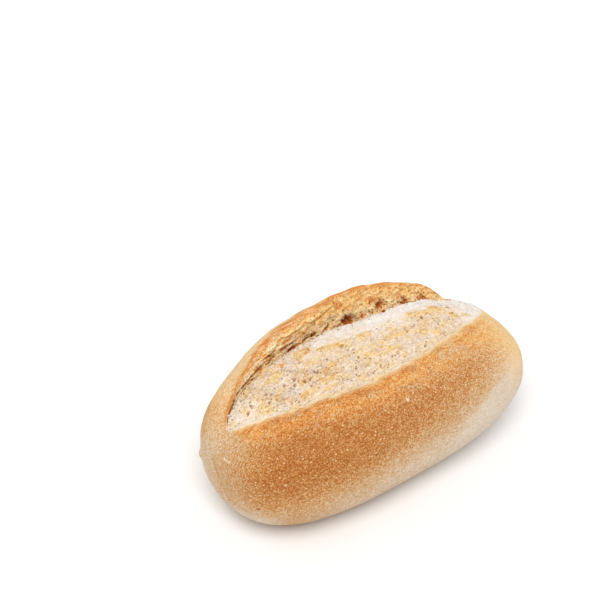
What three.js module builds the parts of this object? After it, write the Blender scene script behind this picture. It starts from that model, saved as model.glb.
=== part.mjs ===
// A crusty white roll, as one solid: an oblong roll baked on a flat tray, whose single
// lengthwise score burst open in the oven. Along the near side the smooth crust stops at the
// burst's edge. The pale burst swells up between the two sides of the score, and on the far
// side the crust has lifted into a tall ear, with a torn inner wall above a deep crevice.
// Millimetres, +Z up, +X along the roll, +Y towards the ear. The origin is in the middle of
// the flat base.
import * as THREE from "three";
import { mergeVertices } from "three/addons/utils/BufferGeometryUtils.js";

// The plain roll, before the score opens
const ROLL_LENGTH = 125;
const ROLL_WIDTH = 64.6;
const GIRTH_LEVEL = 20.2; // height of the widest girth above the tray
const DOME_RISE = 25.6; // from the girth to the top of the plain dome
const UNDERSIDE_DROP = 25.7; // from the girth to the bottom that the tray flattens
const TRAY_ROUNDING = 1.6; // half the height over which the side rounds into the base
const PLAN_POWER = 3.05; // bluntness of the ends seen from above
const FAR_RIGHT_PLAN_POWER = 2.35; // one corner is rounder than the other three
const LEFT_PROFILE_POWER = 3; // bluntness of the left end seen from the side
const RIGHT_PROFILE_POWER = 2.85;
const DOME_POWER = 3.1; // squareness of the upper half of a cross-section
const UNDERSIDE_POWER = 2;

// The score, measured across the roll from its own line
const SCORE_LEFT = -56; // tips of the score along the roll
const SCORE_RIGHT = 57;
const SCORE_OFFSET = 6; // the score's line is this far off the middle, on the ear's side
const NEAR_OPENING = 20.3; // to the near crust's edge, at mid-length
const LIP_OPENING = 16.2; // to the ear's lip
const OPENING_POWER = 0.6; // how fast the score opens from its tips
const CLOSED_NEAR = 1; // what is left of those two widths past the tips
const CLOSED_LIP = 1.4;

// The burst between the near crust and the crevice
const BURST_RISE = 2.8; // swell above the plain dome
const BURST_CREST = 0.71; // where it is highest, as a share of the way across
const BURST_FULLNESS = 0.8; // below 1 the swell is fuller towards its edges
const EDGE_GROOVE = 0.7; // dip just inside the near crust's edge
const EDGE_GROOVE_WIDTH = 2.2;
const CREVICE_DEPTH = 8; // below the plain dome, at the ear's peak
const CREVICE_END_DEPTH = 2.8; // and where the ear is down
const CREVICE_START = 0.83; // where the burst turns down, as a share of the way across

// The ear
const EAR_RISE = 11.3; // lip above the plain dome, at its highest
const EAR_PEAK = 9; // where the lip is highest along the roll
const EAR_LEFT = -56; // where the ear starts and ends along the roll
const EAR_RIGHT = 46.5;
const EAR_LEFT_CURVE = [1.7, 1.02]; // fullness of the lip's rise: near its peak, and at its end
const EAR_RIGHT_CURVE = [1.5, 0.62];
const SAG = 3.4; // past its right end the far side sags below the plain dome
const SAG_MIDDLE = 50;
const SAG_LENGTH = 14;
const WALL_LEAN = 2.8; // the wall's foot is this far in from its lip, at the ear's peak
const WALL_LEAN_CLOSED = 0.8; // and where the ear is down
const LIP_THICKNESS = 1.5; // crust edge, rounded over
const WALL_HOLLOW = 0.8; // the torn wall's curve: under 1 leans back sooner
const SHOULDER_RISE = 2.6; // the ear's left half curls over above its lip
const SHOULDER_MIDDLE = -18;
const SHOULDER_LENGTH = 31;
const SHOULDER_REACH = 4.5; // how far down the outside it runs, across the roll

// A strand of crust left across the torn wall, side by side with the lip
const STRAND_BELOW_LIP = 3.2;
const STRAND_HALF_WIDTH = 1.5;
const STRAND_STAND_OUT = 0.9;
const STRAND_MIDDLE = -17; // along the roll
const STRAND_HALF_LENGTH = 24;

// Unevenness: each wave is [length along the roll, length across it, phase], and a minus sign
// slants it the other way
const CRAG_WAVES = [
  [17.3, 23, 0.7],
  [9.4, -13.2, 2.3],
  [6.7, 8.4, 4.4],
  [-7.9, 41, 1.3],
];
const RIDGE_WAVES = [
  [61, 10.6, 1.9],
  [-37, 6.9, 0.4],
  [21.5, -17, 3.2],
];
const SKIN_WAVES = [
  [47, 39, 0.3],
  [-29, 33, 2.2],
  [25, -61, 5.1],
];
const LIP_WAVES = [
  [26, Infinity, 1.1],
  [11.7, Infinity, 0.2],
];
const CRAG_HEIGHT = 1.3;
const RIDGE_HEIGHT = 0.6;
const SKIN_HEIGHT = 0.35;
const SKIN_END_SHARE = 0.3; // how much the ends count in the direction that the skin swells
const LIP_WAVE_HEIGHT = 0.35;

// The pinch of dough on the left end
const NUB_PLACE = new THREE.Vector3(-59.8, 15.4, 20.4);
const NUB_HEIGHT = 1;
const NUB_RADIUS = 2.8;

// How finely the solid is faceted
const STATIONS = 104; // cross-sections along the roll
const NEAR_POINTS = 17; // points around each cross-section, by stretch
const BURST_POINTS = 14;
const WALL_POINTS = 9;
const LIP_POINTS = 3;
const FAR_POINTS = 13;

const CRUST_COLOUR = 0xcf9556;

const END = ROLL_LENGTH / 2;
const SIDE = ROLL_WIDTH / 2;

const mix = (from, to, share) => from + (to - from) * share;
const clamp01 = (value) => THREE.MathUtils.clamp(value, 0, 1);
const signedPower = (value, power) => Math.sign(value) * Math.abs(value) ** power;

// One at the middle, none at the end, and blunter the larger the power.
const taper = (share, power) => Math.max(1 - Math.abs(share) ** power, 0) ** (1 / power);

// A smooth hump of height one at its middle and none a reach away on either side.
const hump = (distance, reach) => Math.max(1 - (distance / reach) ** 2, 0) ** 2;

// Slanted sine waves of unequal length and slope added together, from -1 to 1.
function ripple(along, across, waves) {
  let sum = 0;
  for (const [alongLength, acrossLength, phase] of waves) {
    sum += Math.sin(2 * Math.PI * (along / alongLength + across / acrossLength) + phase);
  }
  return sum / waves.length;
}

// The tray holds the underside up: nothing is below it, and the side rounds into it.
function onTray(height) {
  if (height > TRAY_ROUNDING) return height;
  if (height < -TRAY_ROUNDING) return 0;
  return (height + TRAY_ROUNDING) ** 2 / (4 * TRAY_ROUNDING);
}

// How far the score has opened at x, from none at its tips to one at mid-length.
function opening(x) {
  const share = x / (x < 0 ? SCORE_LEFT : SCORE_RIGHT);
  return Math.max(1 - share * share, 0) ** OPENING_POWER;
}

// How far the ear stands up at x, from none at its ends to one at its peak.
function earShare(x) {
  const [end, [power, drop]] = x < EAR_PEAK ? [EAR_LEFT, EAR_LEFT_CURVE] : [EAR_RIGHT, EAR_RIGHT_CURVE];
  const share = Math.min((x - EAR_PEAK) / (end - EAR_PEAK), 1);
  return (1 - share ** power) ** drop;
}

// The sizes of the cross-section at x.
function stationAt(x) {
  const widthShare = taper(x / END, PLAN_POWER);
  const heightShare = taper(x / END, x < 0 ? LEFT_PROFILE_POWER : RIGHT_PROFILE_POWER);
  const open = opening(x);
  const ear = earShare(x);
  const scoreLine = SCORE_OFFSET * widthShare;
  const lipWave = ripple(x, 0, LIP_WAVES) * LIP_WAVE_HEIGHT * open;
  const station = {
    x,
    open,
    ear,
    sag: SAG * hump(x - SAG_MIDDLE, SAG_LENGTH) * open,
    nearHalf: SIDE * widthShare,
    farHalf: SIDE * taper(x / END, x < 0 ? PLAN_POWER : FAR_RIGHT_PLAN_POWER),
    dome: DOME_RISE * heightShare,
    underside: UNDERSIDE_DROP * heightShare,
    nearEdge: scoreLine - Math.max(NEAR_OPENING * open, CLOSED_NEAR * widthShare),
    lip: scoreLine + Math.max(LIP_OPENING * open, CLOSED_LIP * widthShare) + lipWave,
  };
  station.crevice = station.lip - mix(WALL_LEAN_CLOSED, WALL_LEAN, ear) * widthShare;
  station.lipHeight = domeHeight(station, station.lip) + EAR_RISE * ear - station.sag + lipWave;
  return station;
}

// How far across y is, as a share of the half width on its side of the middle.
const shareAcross = (station, y) =>
  THREE.MathUtils.clamp(y / (y < 0 ? station.nearHalf : station.farHalf), -1, 1);

// Height of the plain dome at y, before the score opened.
const domeHeight = (station, y) => GIRTH_LEVEL + station.dome * taper(shareAcross(station, y), DOME_POWER);

// A point of the plain crust, by the angle round it: 0 below, half a turn on top, near side first.
// Above the girth its height is stretched, which is how the far side reaches up to the ear's lip.
function crustPoint(station, angle, stretch) {
  const across = Math.sin(angle);
  const up = -Math.cos(angle);
  const power = 2 / (up > 0 ? DOME_POWER : UNDERSIDE_POWER);
  const rise = up > 0 ? station.dome * stretch : station.underside;
  const y = -(across > 0 ? station.nearHalf : station.farHalf) * signedPower(across, power);
  return [y, onTray(GIRTH_LEVEL + rise * signedPower(up, power))];
}

// The angle round the crust at which it is y from the middle, on top.
const angleOnTop = (station, y) =>
  Math.PI + Math.asin(signedPower(shareAcross(station, y), DOME_POWER / 2));

// The crust from below, round the near side and up to the edge of the burst.
function nearCrust(station, share) {
  return crustPoint(station, share * angleOnTop(station, station.nearEdge), 1);
}

// The burst, from the near crust's edge over its crest and down into the crevice.
function burst(station, share) {
  const y = mix(station.nearEdge, station.crevice, share);
  const skew = Math.log(0.5) / Math.log(BURST_CREST);
  const swell = Math.sin(Math.PI * share ** skew) ** BURST_FULLNESS;
  const down = clamp01((share - CREVICE_START) / (1 - CREVICE_START)) ** 2;
  const groove = hump(y - station.nearEdge - EDGE_GROOVE_WIDTH, EDGE_GROOVE_WIDTH);
  const ridge = ripple(station.x, y, RIDGE_WAVES) * Math.sin(Math.PI * share);
  const rise = BURST_RISE * swell + RIDGE_HEIGHT * ridge - EDGE_GROOVE * groove;
  const depth = mix(CREVICE_END_DEPTH, CREVICE_DEPTH, station.ear) * down;
  return [y, domeHeight(station, y) + (rise - depth) * station.open - station.sag * share];
}

// The ear's torn wall, from the crevice up to its lip.
function tornWall(station, share) {
  const [y, foot] = burst(station, 1);
  const height = mix(foot, station.lipHeight, share);
  const crag = CRAG_HEIGHT * ripple(station.x, height, CRAG_WAVES) * Math.sin(Math.PI * share);
  const strand =
    STRAND_STAND_OUT *
    hump(station.lipHeight - height - STRAND_BELOW_LIP, STRAND_HALF_WIDTH) *
    hump(station.x - STRAND_MIDDLE, STRAND_HALF_LENGTH);
  return [mix(y, station.lip, share ** WALL_HOLLOW) + (crag - strand) * station.ear, height];
}

// The far crust, from the outside of the lip down round the far side to the bottom.
function farCrust(station, share) {
  const outside = station.lip + LIP_THICKNESS * station.open;
  const stretch = (station.lipHeight - GIRTH_LEVEL) / (domeHeight(station, outside) - GIRTH_LEVEL);
  const angle = mix(angleOnTop(station, outside), 2 * Math.PI, share);
  const [y, height] = crustPoint(station, angle, stretch);
  const curl = y > outside && height > GIRTH_LEVEL ? (y - outside) / SHOULDER_REACH : 0;
  const shoulder = SHOULDER_RISE * station.open * hump(station.x - SHOULDER_MIDDLE, SHOULDER_LENGTH);
  return [y, height + shoulder * curl * Math.exp(1 - curl) * clamp01((height - GIRTH_LEVEL) / DOME_RISE)];
}

// The lip's rounded edge, between the torn wall and the far crust.
function lipEdge(station, share) {
  const outside = farCrust(station, 0);
  const bead = (LIP_THICKNESS / 2) * station.open * Math.sin(Math.PI * share);
  return [mix(station.lip, outside[0], share), mix(station.lipHeight, outside[1], share) + bead];
}

// A stretch of a cross-section as a curve, so that its points can be spread evenly along it.
class Stretch extends THREE.Curve {
  constructor(station, pointAt) {
    super();
    this.station = station;
    this.pointAt = pointAt;
  }
  getPoint(share, target = new THREE.Vector2()) {
    return target.set(...this.pointAt(this.station, share));
  }
}

// The whole cross-section at x, once round from below. Each stretch leaves its last point to the next.
function crossSection(x) {
  const station = stationAt(x);
  const stretches = [
    [nearCrust, NEAR_POINTS],
    [burst, BURST_POINTS],
    [tornWall, WALL_POINTS],
    [lipEdge, LIP_POINTS],
    [farCrust, FAR_POINTS],
  ];
  return stretches.flatMap(([pointAt, count]) =>
    new Stretch(station, pointAt).getSpacedPoints(count).slice(0, -1),
  );
}

// Slow swells of the whole skin, and the pinch of dough, which push a point away from the middle.
function unevenSkin(point) {
  const outward = new THREE.Vector3(point.x * SKIN_END_SHARE, point.y, point.z - GIRTH_LEVEL).normalize();
  const clearOfTray = clamp01(point.z / GIRTH_LEVEL);
  const swell = SKIN_HEIGHT * ripple(point.x, point.y + point.z, SKIN_WAVES) * clearOfTray;
  const nub = NUB_HEIGHT * hump(point.distanceTo(NUB_PLACE), NUB_RADIUS);
  return point.addScaledVector(outward, swell + nub);
}

// A sphere's grid of rings and meridians, with each ring moved onto a cross-section of the roll.
function rollGeometry() {
  const around = NEAR_POINTS + BURST_POINTS + WALL_POINTS + LIP_POINTS + FAR_POINTS;
  const grid = new THREE.SphereGeometry(1, around, STATIONS);
  const places = grid.getAttribute("position");
  for (let ring = 0; ring <= STATIONS; ring++) {
    const x = -END * Math.cos((Math.PI * ring) / STATIONS);
    const isEnd = ring === 0 || ring === STATIONS;
    const section = isEnd ? [new THREE.Vector2(0, GIRTH_LEVEL)] : crossSection(x);
    for (let meridian = 0; meridian <= around; meridian++) {
      const { x: y, y: z } = section[meridian % section.length];
      const point = unevenSkin(new THREE.Vector3(x, y, z));
      places.setXYZ(ring * (around + 1) + meridian, point.x, point.y, point.z);
    }
  }
  grid.deleteAttribute("normal");
  grid.deleteAttribute("uv");
  const solid = mergeVertices(grid);
  solid.computeBoundingBox();
  const middle = solid.boundingBox.getCenter(new THREE.Vector3());
  solid.translate(-middle.x, -middle.y, 0);
  solid.computeVertexNormals();
  return solid;
}

const crust = new THREE.MeshStandardMaterial({ color: CRUST_COLOUR, roughness: 0.75, metalness: 0 });
const roll = new THREE.Mesh(rollGeometry(), crust);
roll.name = "roll";

const part = new THREE.Group();
part.add(roll);

export default part;
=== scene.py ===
"""Looks of a crusty white roll: browned crust, a floury burst along its score, and a torn ear.

Metres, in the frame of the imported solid: +Z up, +X along the roll, +Y across it towards the ear.
"""

import math
from functools import partial, reduce
from types import SimpleNamespace

import bpy
import numpy as np
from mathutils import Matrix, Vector


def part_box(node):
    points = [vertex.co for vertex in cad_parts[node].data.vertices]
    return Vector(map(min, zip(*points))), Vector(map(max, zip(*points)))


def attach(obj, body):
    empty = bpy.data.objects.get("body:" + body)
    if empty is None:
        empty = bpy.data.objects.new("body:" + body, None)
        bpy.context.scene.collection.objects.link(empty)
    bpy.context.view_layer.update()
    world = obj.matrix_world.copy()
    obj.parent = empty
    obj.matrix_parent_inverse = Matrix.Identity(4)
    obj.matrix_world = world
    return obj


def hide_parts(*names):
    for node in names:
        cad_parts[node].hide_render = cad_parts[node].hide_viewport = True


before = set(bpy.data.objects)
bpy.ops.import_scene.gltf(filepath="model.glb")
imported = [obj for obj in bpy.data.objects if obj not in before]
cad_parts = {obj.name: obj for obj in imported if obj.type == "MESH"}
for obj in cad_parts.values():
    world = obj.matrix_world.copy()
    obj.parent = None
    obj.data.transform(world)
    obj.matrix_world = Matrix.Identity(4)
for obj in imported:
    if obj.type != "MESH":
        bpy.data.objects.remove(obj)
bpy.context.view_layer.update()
MM = 0.001
roll_low, roll_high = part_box("roll")

# The plain roll, before the score opens. A power of 2 is an ellipse's, and a larger one is blunter.
END = (roll_high.x - roll_low.x) / 2
SIDE = (roll_high.y - roll_low.y) / 2
GIRTH_LEVEL = 20.2 * MM
DOME_RISE = 25.6 * MM
UNDERSIDE_DROP = 25.7 * MM
TRAY_ROUNDING = 1.6 * MM
PLAN_POWER = 3.05
FAR_RIGHT_PLAN_POWER = 2.35
LEFT_PROFILE_POWER = 3
RIGHT_PROFILE_POWER = 2.72
RIGHT_UNDERSIDE_POWER = 2.2
DOME_POWER = 3.1
UNDERSIDE_POWER = 2

# The score and the burst
SCORE_LEFT = -56.6 * MM
SCORE_RIGHT = 57 * MM
SCORE_OFFSET = 6 * MM
NEAR_OPENING = 20.3 * MM
LIP_OPENING = 16.2 * MM
OPENING_POWER_LEFT = 0.72
OPENING_POWER_RIGHT = 0.6
CLOSED_NEAR = 1 * MM
CLOSED_LIP = 1.4 * MM
BURST_RISE = 2.8 * MM
BURST_CREST = 0.71  # where it swells most, as a share of the way across
BURST_FULLNESS = 0.8  # under one, its swell is fuller than a sine's
EDGE_GROOVE = 0.7 * MM
EDGE_GROOVE_WIDTH = 2.2 * MM
CREVICE_DEPTH = 8 * MM
CREVICE_END_DEPTH = 2.8 * MM
CREVICE_START = 0.865  # as a share of the way across

# The ear
EAR_RISE = 11.3 * MM
EAR_PEAK = 9 * MM
EAR_LEFT = -56 * MM
EAR_RIGHT = 47.5 * MM
EAR_LEFT_CURVE = (2.3, 1.35)  # powers of the ear's fall from its peak
EAR_RIGHT_CURVE = (1.3, 0.66)
EAR_CORNER = 1.5 * MM  # a corner that stands up where the lip turns down on the right
EAR_CORNER_PLACE = 42 * MM
EAR_CORNER_REACH = 6 * MM
SAG = 3.4 * MM
SAG_MIDDLE = 50 * MM
SAG_LENGTH = 14 * MM
WALL_LEAN = 2.8 * MM
WALL_LEAN_CLOSED = 0.8 * MM
WALL_LEAN_MORE = 3.2 * MM  # added where the crevice gapes widest
GAPE_MIDDLE = 29 * MM
GAPE_LENGTH = 40 * MM
LIP_THICKNESS = 1.5 * MM
CLOSED_THICKNESS = 0.8 * MM
WALL_HOLLOW = 0.8  # under one, the wall is set back between the crevice and the lip
SHOULDER_RISE = 2 * MM
SHOULDER_MIDDLE = -18 * MM
SHOULDER_LENGTH = 31 * MM
SHOULDER_REACH = 4.5 * MM
STRAND_BELOW_LIP = 3.2 * MM
STRAND_HALF_WIDTH = 1.5 * MM
STRAND_STAND_OUT = 0.6 * MM
STRAND_MIDDLE = -17 * MM
STRAND_HALF_LENGTH = 24 * MM

# Unevenness: each wave is (length along the roll, length across it, phase), lengths in mm
CRAG_WAVES = ((17.3, 23, 0.7), (9.4, -13.2, 2.3), (6.7, 8.4, 4.4), (-7.9, 41, 1.3))
RIDGE_WAVES = ((61, 10.6, 1.9), (-37, 6.9, 0.4), (21.5, -17, 3.2))
SKIN_WAVES = ((47, 39, 0.3), (-29, 33, 2.2), (25, -61, 5.1))
LIP_WAVES = ((26, math.inf, 1.1), (11.7, math.inf, 0.2))
EDGE_WAVES = ((31, math.inf, 0.4), (13.3, math.inf, 2.1), (8.3, math.inf, 4.0), (5.1, math.inf, 1.2))
CAVITY_WAVES = ((2.3, 3.1, 0.4), (-1.7, 2.6, 1.9), (3.3, -1.4, 4.1), (1.1, 1.3, 2.7))
CRAG_HEIGHT = 0.8 * MM
RIDGE_HEIGHT = 0.6 * MM
SKIN_HEIGHT = 0.35 * MM
LIP_WAVE_HEIGHT = 0.35 * MM
EDGE_WAVE_HEIGHT = 0.6 * MM
SKIN_END_SHARE = 0.3  # how much of a swell's push goes along the roll
NUB_PLACE = Vector((-59.8, 15.4, 20.4)) * MM
NUB_HEIGHT = 1 * MM
NUB_RADIUS = 2.8 * MM

# A crease in the skin of the left end: points along it, in mm
CREASE = (
    (-61.8, 5.4, 26.5),
    (-62.4, 1.9, 22.4),
    (-62.4, -1.6, 17.1),
    (-62, -3.2, 14.3),
    (-61.3, -9.1, 14),
    (-59.3, -15, 14),
)
CREASE_REACH = 1.2 * MM
CREASE_DEPTH = 0.35 * MM
CREASE_SHADE = 0.14  # how much darker, on the crust's scale of browning, the crease is painted than the skin beside it, as painted shade

# How finely the roll is meshed
STATIONS = 380
END_START = 0.85  # share of the half length past which the sections close up
NEAR_POINTS = 46
BURST_POINTS = 104
WALL_POINTS = 54
LIP_POINTS = 8
FAR_POINTS = 36
CURVE_SAMPLES = 500  # along each stretch, before its points are spaced evenly

# Cavities torn in the ear's wall: middle along, middle up, reach along, reach up, depth, all in mm
CAVITIES = (
    (-36.4, 43.4, 2.2, 0.7, 0.8),
    (-28, 45.8, 4, 0.9, 1.4),
    (-26, 41.7, 3.6, 0.9, 1.4),
    (-17.4, 42.6, 3.6, 1.3, 1.3),
    (-10.6, 43.2, 2.2, 0.9, 1.4),
    (-6.7, 43.4, 1.5, 1.3, 2),
    (-1, 44, 2.4, 1.2, 1.4),
    (8, 42.8, 3.9, 3.1, 2.3),
    (13.9, 43, 1.6, 1.4, 0.7),
    (21.6, 44.6, 2.6, 2.2, 1.2),
    (22.6, 41, 2.6, 1.6, 1),
    (31.6, 42.2, 2.8, 3, 0.8),
    (38.6, 41.6, 4.6, 2.6, 0.6),
)
CAVITY_RAGGED = 0.3  # how far a cavity's edge wanders, as a share of its reach
CAVITY_SHADE_DEPTH = 1.3  # the depth from which a cavity's painted shade is darkest, in mm
STRANDED_LEFT = -32 * MM  # left of this the wall is torn in strands along the lip
STRANDED_RIGHT = 4 * MM  # and right of this in round cells
STRAND_CELL = 4.5 * MM  # how long a cell is along the roll, among the strands
ROUND_CELL = 1.1 * MM  # and where the cells are round

# Toasted strokes on the ear's wall: one end and the other, each along and up, and half width, all in mm
WALL_STROKES = (
    ((-3.6, 49), (3.6, 51.4), 0.4),
    ((-7, 48.8), (-4.2, 49.6), 0.8),
    ((-20.2, 46.7), (-17.4, 47.7), 0.9),
    ((4.4, 49.6), (6.4, 50.2), 0.8),
    ((-12, 46.6), (-9, 47.8), 0.6),
    ((-30.4, 44.8), (-24.8, 46.2), 0.5),
    ((18, 47.4), (20.4, 48), 0.9),
)

# Toasted flakes on the burst: one end and the other, each along and across, and half width, all in mm
FLAKES = (
    ((-34.8, 12.3), (-34, 12.1), 1.6),
    ((-32.7, 7.9), (-32, 7.9), 1),
    ((-28.2, 10.8), (-27, 10.8), 0.9),
    ((-21.4, 10), (-17.8, 10.2), 1.3),
    ((-14.2, 7.5), (-4.9, 4.9), 0.9),
    ((-27.7, -1.1), (-24.8, 2), 1.1),
    ((-24.3, -3.8), (-14.2, -3.7), 1.2),
    ((-31.1, -5.5), (-24.9, -5.4), 1),
    ((-37.9, 0.3), (-34.8, -4.1), 0.8),
    ((-19, -1.5), (-14.2, -0.9), 1.2),
    ((2.3, 4.2), (4.3, 4), 1.2),
    ((4.6, -3.7), (9, -7.6), 1),
    ((-1.1, -3.7), (2.7, -6.7), 1),
    ((13.5, -1.7), (15.5, -1.9), 1),
    ((23.5, 3.9), (31.4, 2.2), 1),
    ((33, 4.4), (36.7, 1.5), 1),
    ((38.6, -1.2), (39.8, -1.8), 1.1),
    ((44.2, -2.1), (45.4, -2.5), 1),
    ((20.7, -3.8), (22.7, -4.2), 1.1),
    ((26.2, -6), (27.6, -6.2), 0.9),
)
STROKE_SPREAD = 1.9  # how far out from its middle a stroke or a flake ends, in half widths

# Floury hollows in the burst: middle along, middle across, reach along, reach across, all in mm
HOLLOWS = (
    (-32.5, -1.2, 6.5, 2.2),
    (-24.6, -2.6, 2.6, 1.5),
    (-19.6, -3, 2.5, 1.2),
    (-12, -4.6, 4, 1.7),
    (-14.1, -9.1, 4, 1.3),
    (-42.2, -4.2, 2.4, 1.2),
    (-37.8, -5.4, 2, 1.2),
    (-40.8, -2.9, 1.2, 1.2),
    (-20.8, -9.3, 3.4, 1.2),
    (-25, 6, 3.5, 2),
    (24, -8, 3.5, 1.6),
)

# How the crust browned, from 0, pale, to 1. The near side goes from a lowest to a highest value,
# each given at mid-length, with a slope for each metre along the roll.
PALE_BAKE = 0.16
PALE_SLOPE = -3
FULL_BAKE = 0.83
FULL_SLOPE = -3
RIGHT_FADE = (15 * MM, 66 * MM)  # along which the highest falls off towards the right end
RIGHT_LOSS = 0.54
FADE_ALONG = (-62, 6, 17, 30, 47, 62)  # places along the roll, in mm
FADE_LEVELS = (20.5, 28, 29, 31, 35.5, 38)  # half-way between lowest and highest there, in mm
FADE_REACHES = (12, 12, 16, 10, 9, 9)  # and how far above and below the change reaches, in mm
FLOURED_ALONG = (8, 12, 18, 22, 26, 33, 47, 62)  # places along the right half, in mm
FLOURED_LEVELS = (21, 21.6, 22.4, 23.9, 26.1, 29.5, 33.6, 36)  # below these it is floured, in mm
FLOURED_REACH = 1.3 * MM
FLOURED_START = (4 * MM, 24 * MM)
FLOURED_LOSS = 0.6  # of the browning
FAR_SIDE = (-6 * MM, 14 * MM)  # across which the near side's browning gives way to the far side's
FAR_BAKE = 0.17
FAR_LOSS = 0.11  # less of it away from the left end
FAR_LOSS_LEFT = (-52 * MM, -26 * MM)
FAR_BAND = 0.28  # a browner band along the far side
FAR_BAND_LEVEL = 25 * MM
FAR_BAND_REACH = 15 * MM
FAR_FADE = (4 * MM, 22 * MM)
FAR_LEFT = (-64 * MM, -50 * MM)  # along which the band sets in from the left end
TRAY_BAKE = 0.6
TRAY_LEVEL = 2.5 * MM
NEAR_SPOTS = (  # middle, reach, change, for the near side alone
    (Vector((-64, 0, 36)) * MM, 26 * MM, -0.6),
    (Vector((-58, -14, 9)) * MM, 14 * MM, -0.25),
    (Vector((59, 9, 40)) * MM, 15 * MM, -0.4),
)
BAKE_SPOTS = (  # and for the whole crust
    (Vector((-56, 18, 35)) * MM, 13 * MM, 0.16),
    (Vector((-48, -27, 7)) * MM, 16 * MM, 0.16),
    (Vector((-62, -5, 9)) * MM, 9 * MM, -0.12),
)
GOLDEN_SPOTS = ((Vector((54, -14, 36)) * MM, 26 * MM, 1.2),)
GOLDEN_FAR = 0.75  # how golden the far side is
GOLDEN_LEFT = (-64 * MM, -50 * MM)
RIM_WIDTH = 0.5 * MM
NEAR_RIM_WIDTH = 0.7 * MM
BURST_RIM_WIDTH = 1 * MM
NEAR_TOAST = 2.4 * MM  # how far from the burst the crust beside it is toasted most
TOAST_RIGHT = (54 * MM, 36 * MM)
FOOT_DROP = 4.5 * MM  # how far below the burst's crest the wall's crumb is torn deepest, its cells are painted darkest and its colour is palest, partly as painted light against the crevice's shade
CREVICE_SHADOW_DROP = 3.1 * MM  # how far below that crest the crevice's painted shadow lies on the wall
CREVICE_SHADOW_REACH = 1.2 * MM
CREVICE_SHADOW_RIGHT = (-8 * MM, -20 * MM)  # along which the crevice's painted shadow sets in towards the left
GLOW_FADE = (15 * MM, 4 * MM)  # the golden band beside the burst, from its outside in
GLOW_LIGHTENING = 0.34
GLOW_RIGHT = (54 * MM, 14 * MM)  # along which it comes to lighten the crust as well
GLOW_LEFT = (-58 * MM, -44 * MM)
LIP_GLOW_WIDTH = 0.9 * MM
LIP_GLOW_RIGHT = (46 * MM, 4 * MM)  # along which the lip comes to be toasted in full, from the right
LIP_GLOW_LEAST = 0.6  # how toasted it is right of there
LIP_EDGE_GLOW = 0.7  # the glow on the lip's own edge, against the glow beside it
SCORED = 0.02  # the score's opening past which crumb shows
WELL_OPEN = 0.25  # and past which it has all its relief and colour
RAGGED_FROM = (0.52, 0.68)  # shares of the way across the burst over which its crumb turns ragged
ZONE_BLEND = 0.7 * MM  # over which relief fades in from the lip
BURST_BLEND = 1.8 * MM  # and from the burst's near edge
FLOUR_CREST = 0.72  # where flour lies on the burst, as a share of the way across
FLOUR_CREST_REACH = 0.4
FLOUR_MIDDLE = 24 * MM
FLOUR_LENGTH = 72 * MM
FLOUR_RIGHT = (30 * MM, 50 * MM)  # along which the whole burst comes to be floury, at either end
FLOUR_LEFT = (-42 * MM, -55 * MM)
FLOUR_RIGHT_TIP = 0.8
FLOUR_LEFT_TIP = 0.5

SEED = 7
LIGHT = 1.22  # how much brighter than its own colour an upward face shows in this studio


def srgb(red, green, blue):
    """The finish that looks, in this light, like a colour on screen given from 0 to 255.

    Crumb in the ear's shade takes a little more than 255.
    """
    return tuple(((c / 255 + 0.055) / 1.055) ** 2.4 / LIGHT for c in (red, green, blue)) + (1.0,)


def mix(start, end, share):
    """From start at none to end at one."""
    return start + (end - start) * share


def ease(low, high, value):
    """None at low, one at high, smooth between."""
    share = np.clip((value - low) / (high - low), 0, 1)
    return share * share * (3 - 2 * share)


def signed_power(value, power):
    """The power of the value's size, with the value's sign."""
    return np.sign(value) * np.abs(value) ** power


def taper(share, power):
    """One at the middle, none at the end, and blunter the larger the power."""
    return np.maximum(1 - np.abs(share) ** power, 0) ** (1 / power)


def hump(distance, reach):
    """A smooth hump of height one at its middle and none a reach away on either side."""
    return np.maximum(1 - (distance / reach) ** 2, 0) ** 2


def ripple(along, across, waves):
    """Slanted sine waves of unequal length and slope added together, from -1 to 1."""
    height = 0
    for along_length, across_length, phase in waves:
        turn = along / (along_length * MM) + across / (across_length * MM)
        height = height + np.sin(2 * math.pi * turn + phase)
    return height / len(waves)


# The roll's form, by the same rule as the solid


def stations():
    """Where the cross-sections lie along the roll, closing up towards its two ends."""
    reach = np.linspace(-1, 1, STATIONS + 1)
    past = np.maximum(np.abs(reach) - END_START, 0)
    share = np.abs(reach) - past**2 / (2 * (1 - END_START))
    return END * np.sign(reach) * share * 2 / (1 + END_START)


def ear_share(x):
    """How far the ear stands up at x, from none at its ends to one at its peak."""
    left = np.clip((x - EAR_PEAK) / (EAR_LEFT - EAR_PEAK), 0, 1)
    right = np.clip((x - EAR_PEAK) / (EAR_RIGHT - EAR_PEAK), 0, 1)
    rise = (1 - left ** EAR_LEFT_CURVE[0]) ** EAR_LEFT_CURVE[1]
    return rise * (1 - right ** EAR_RIGHT_CURVE[0]) ** EAR_RIGHT_CURVE[1]


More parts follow.
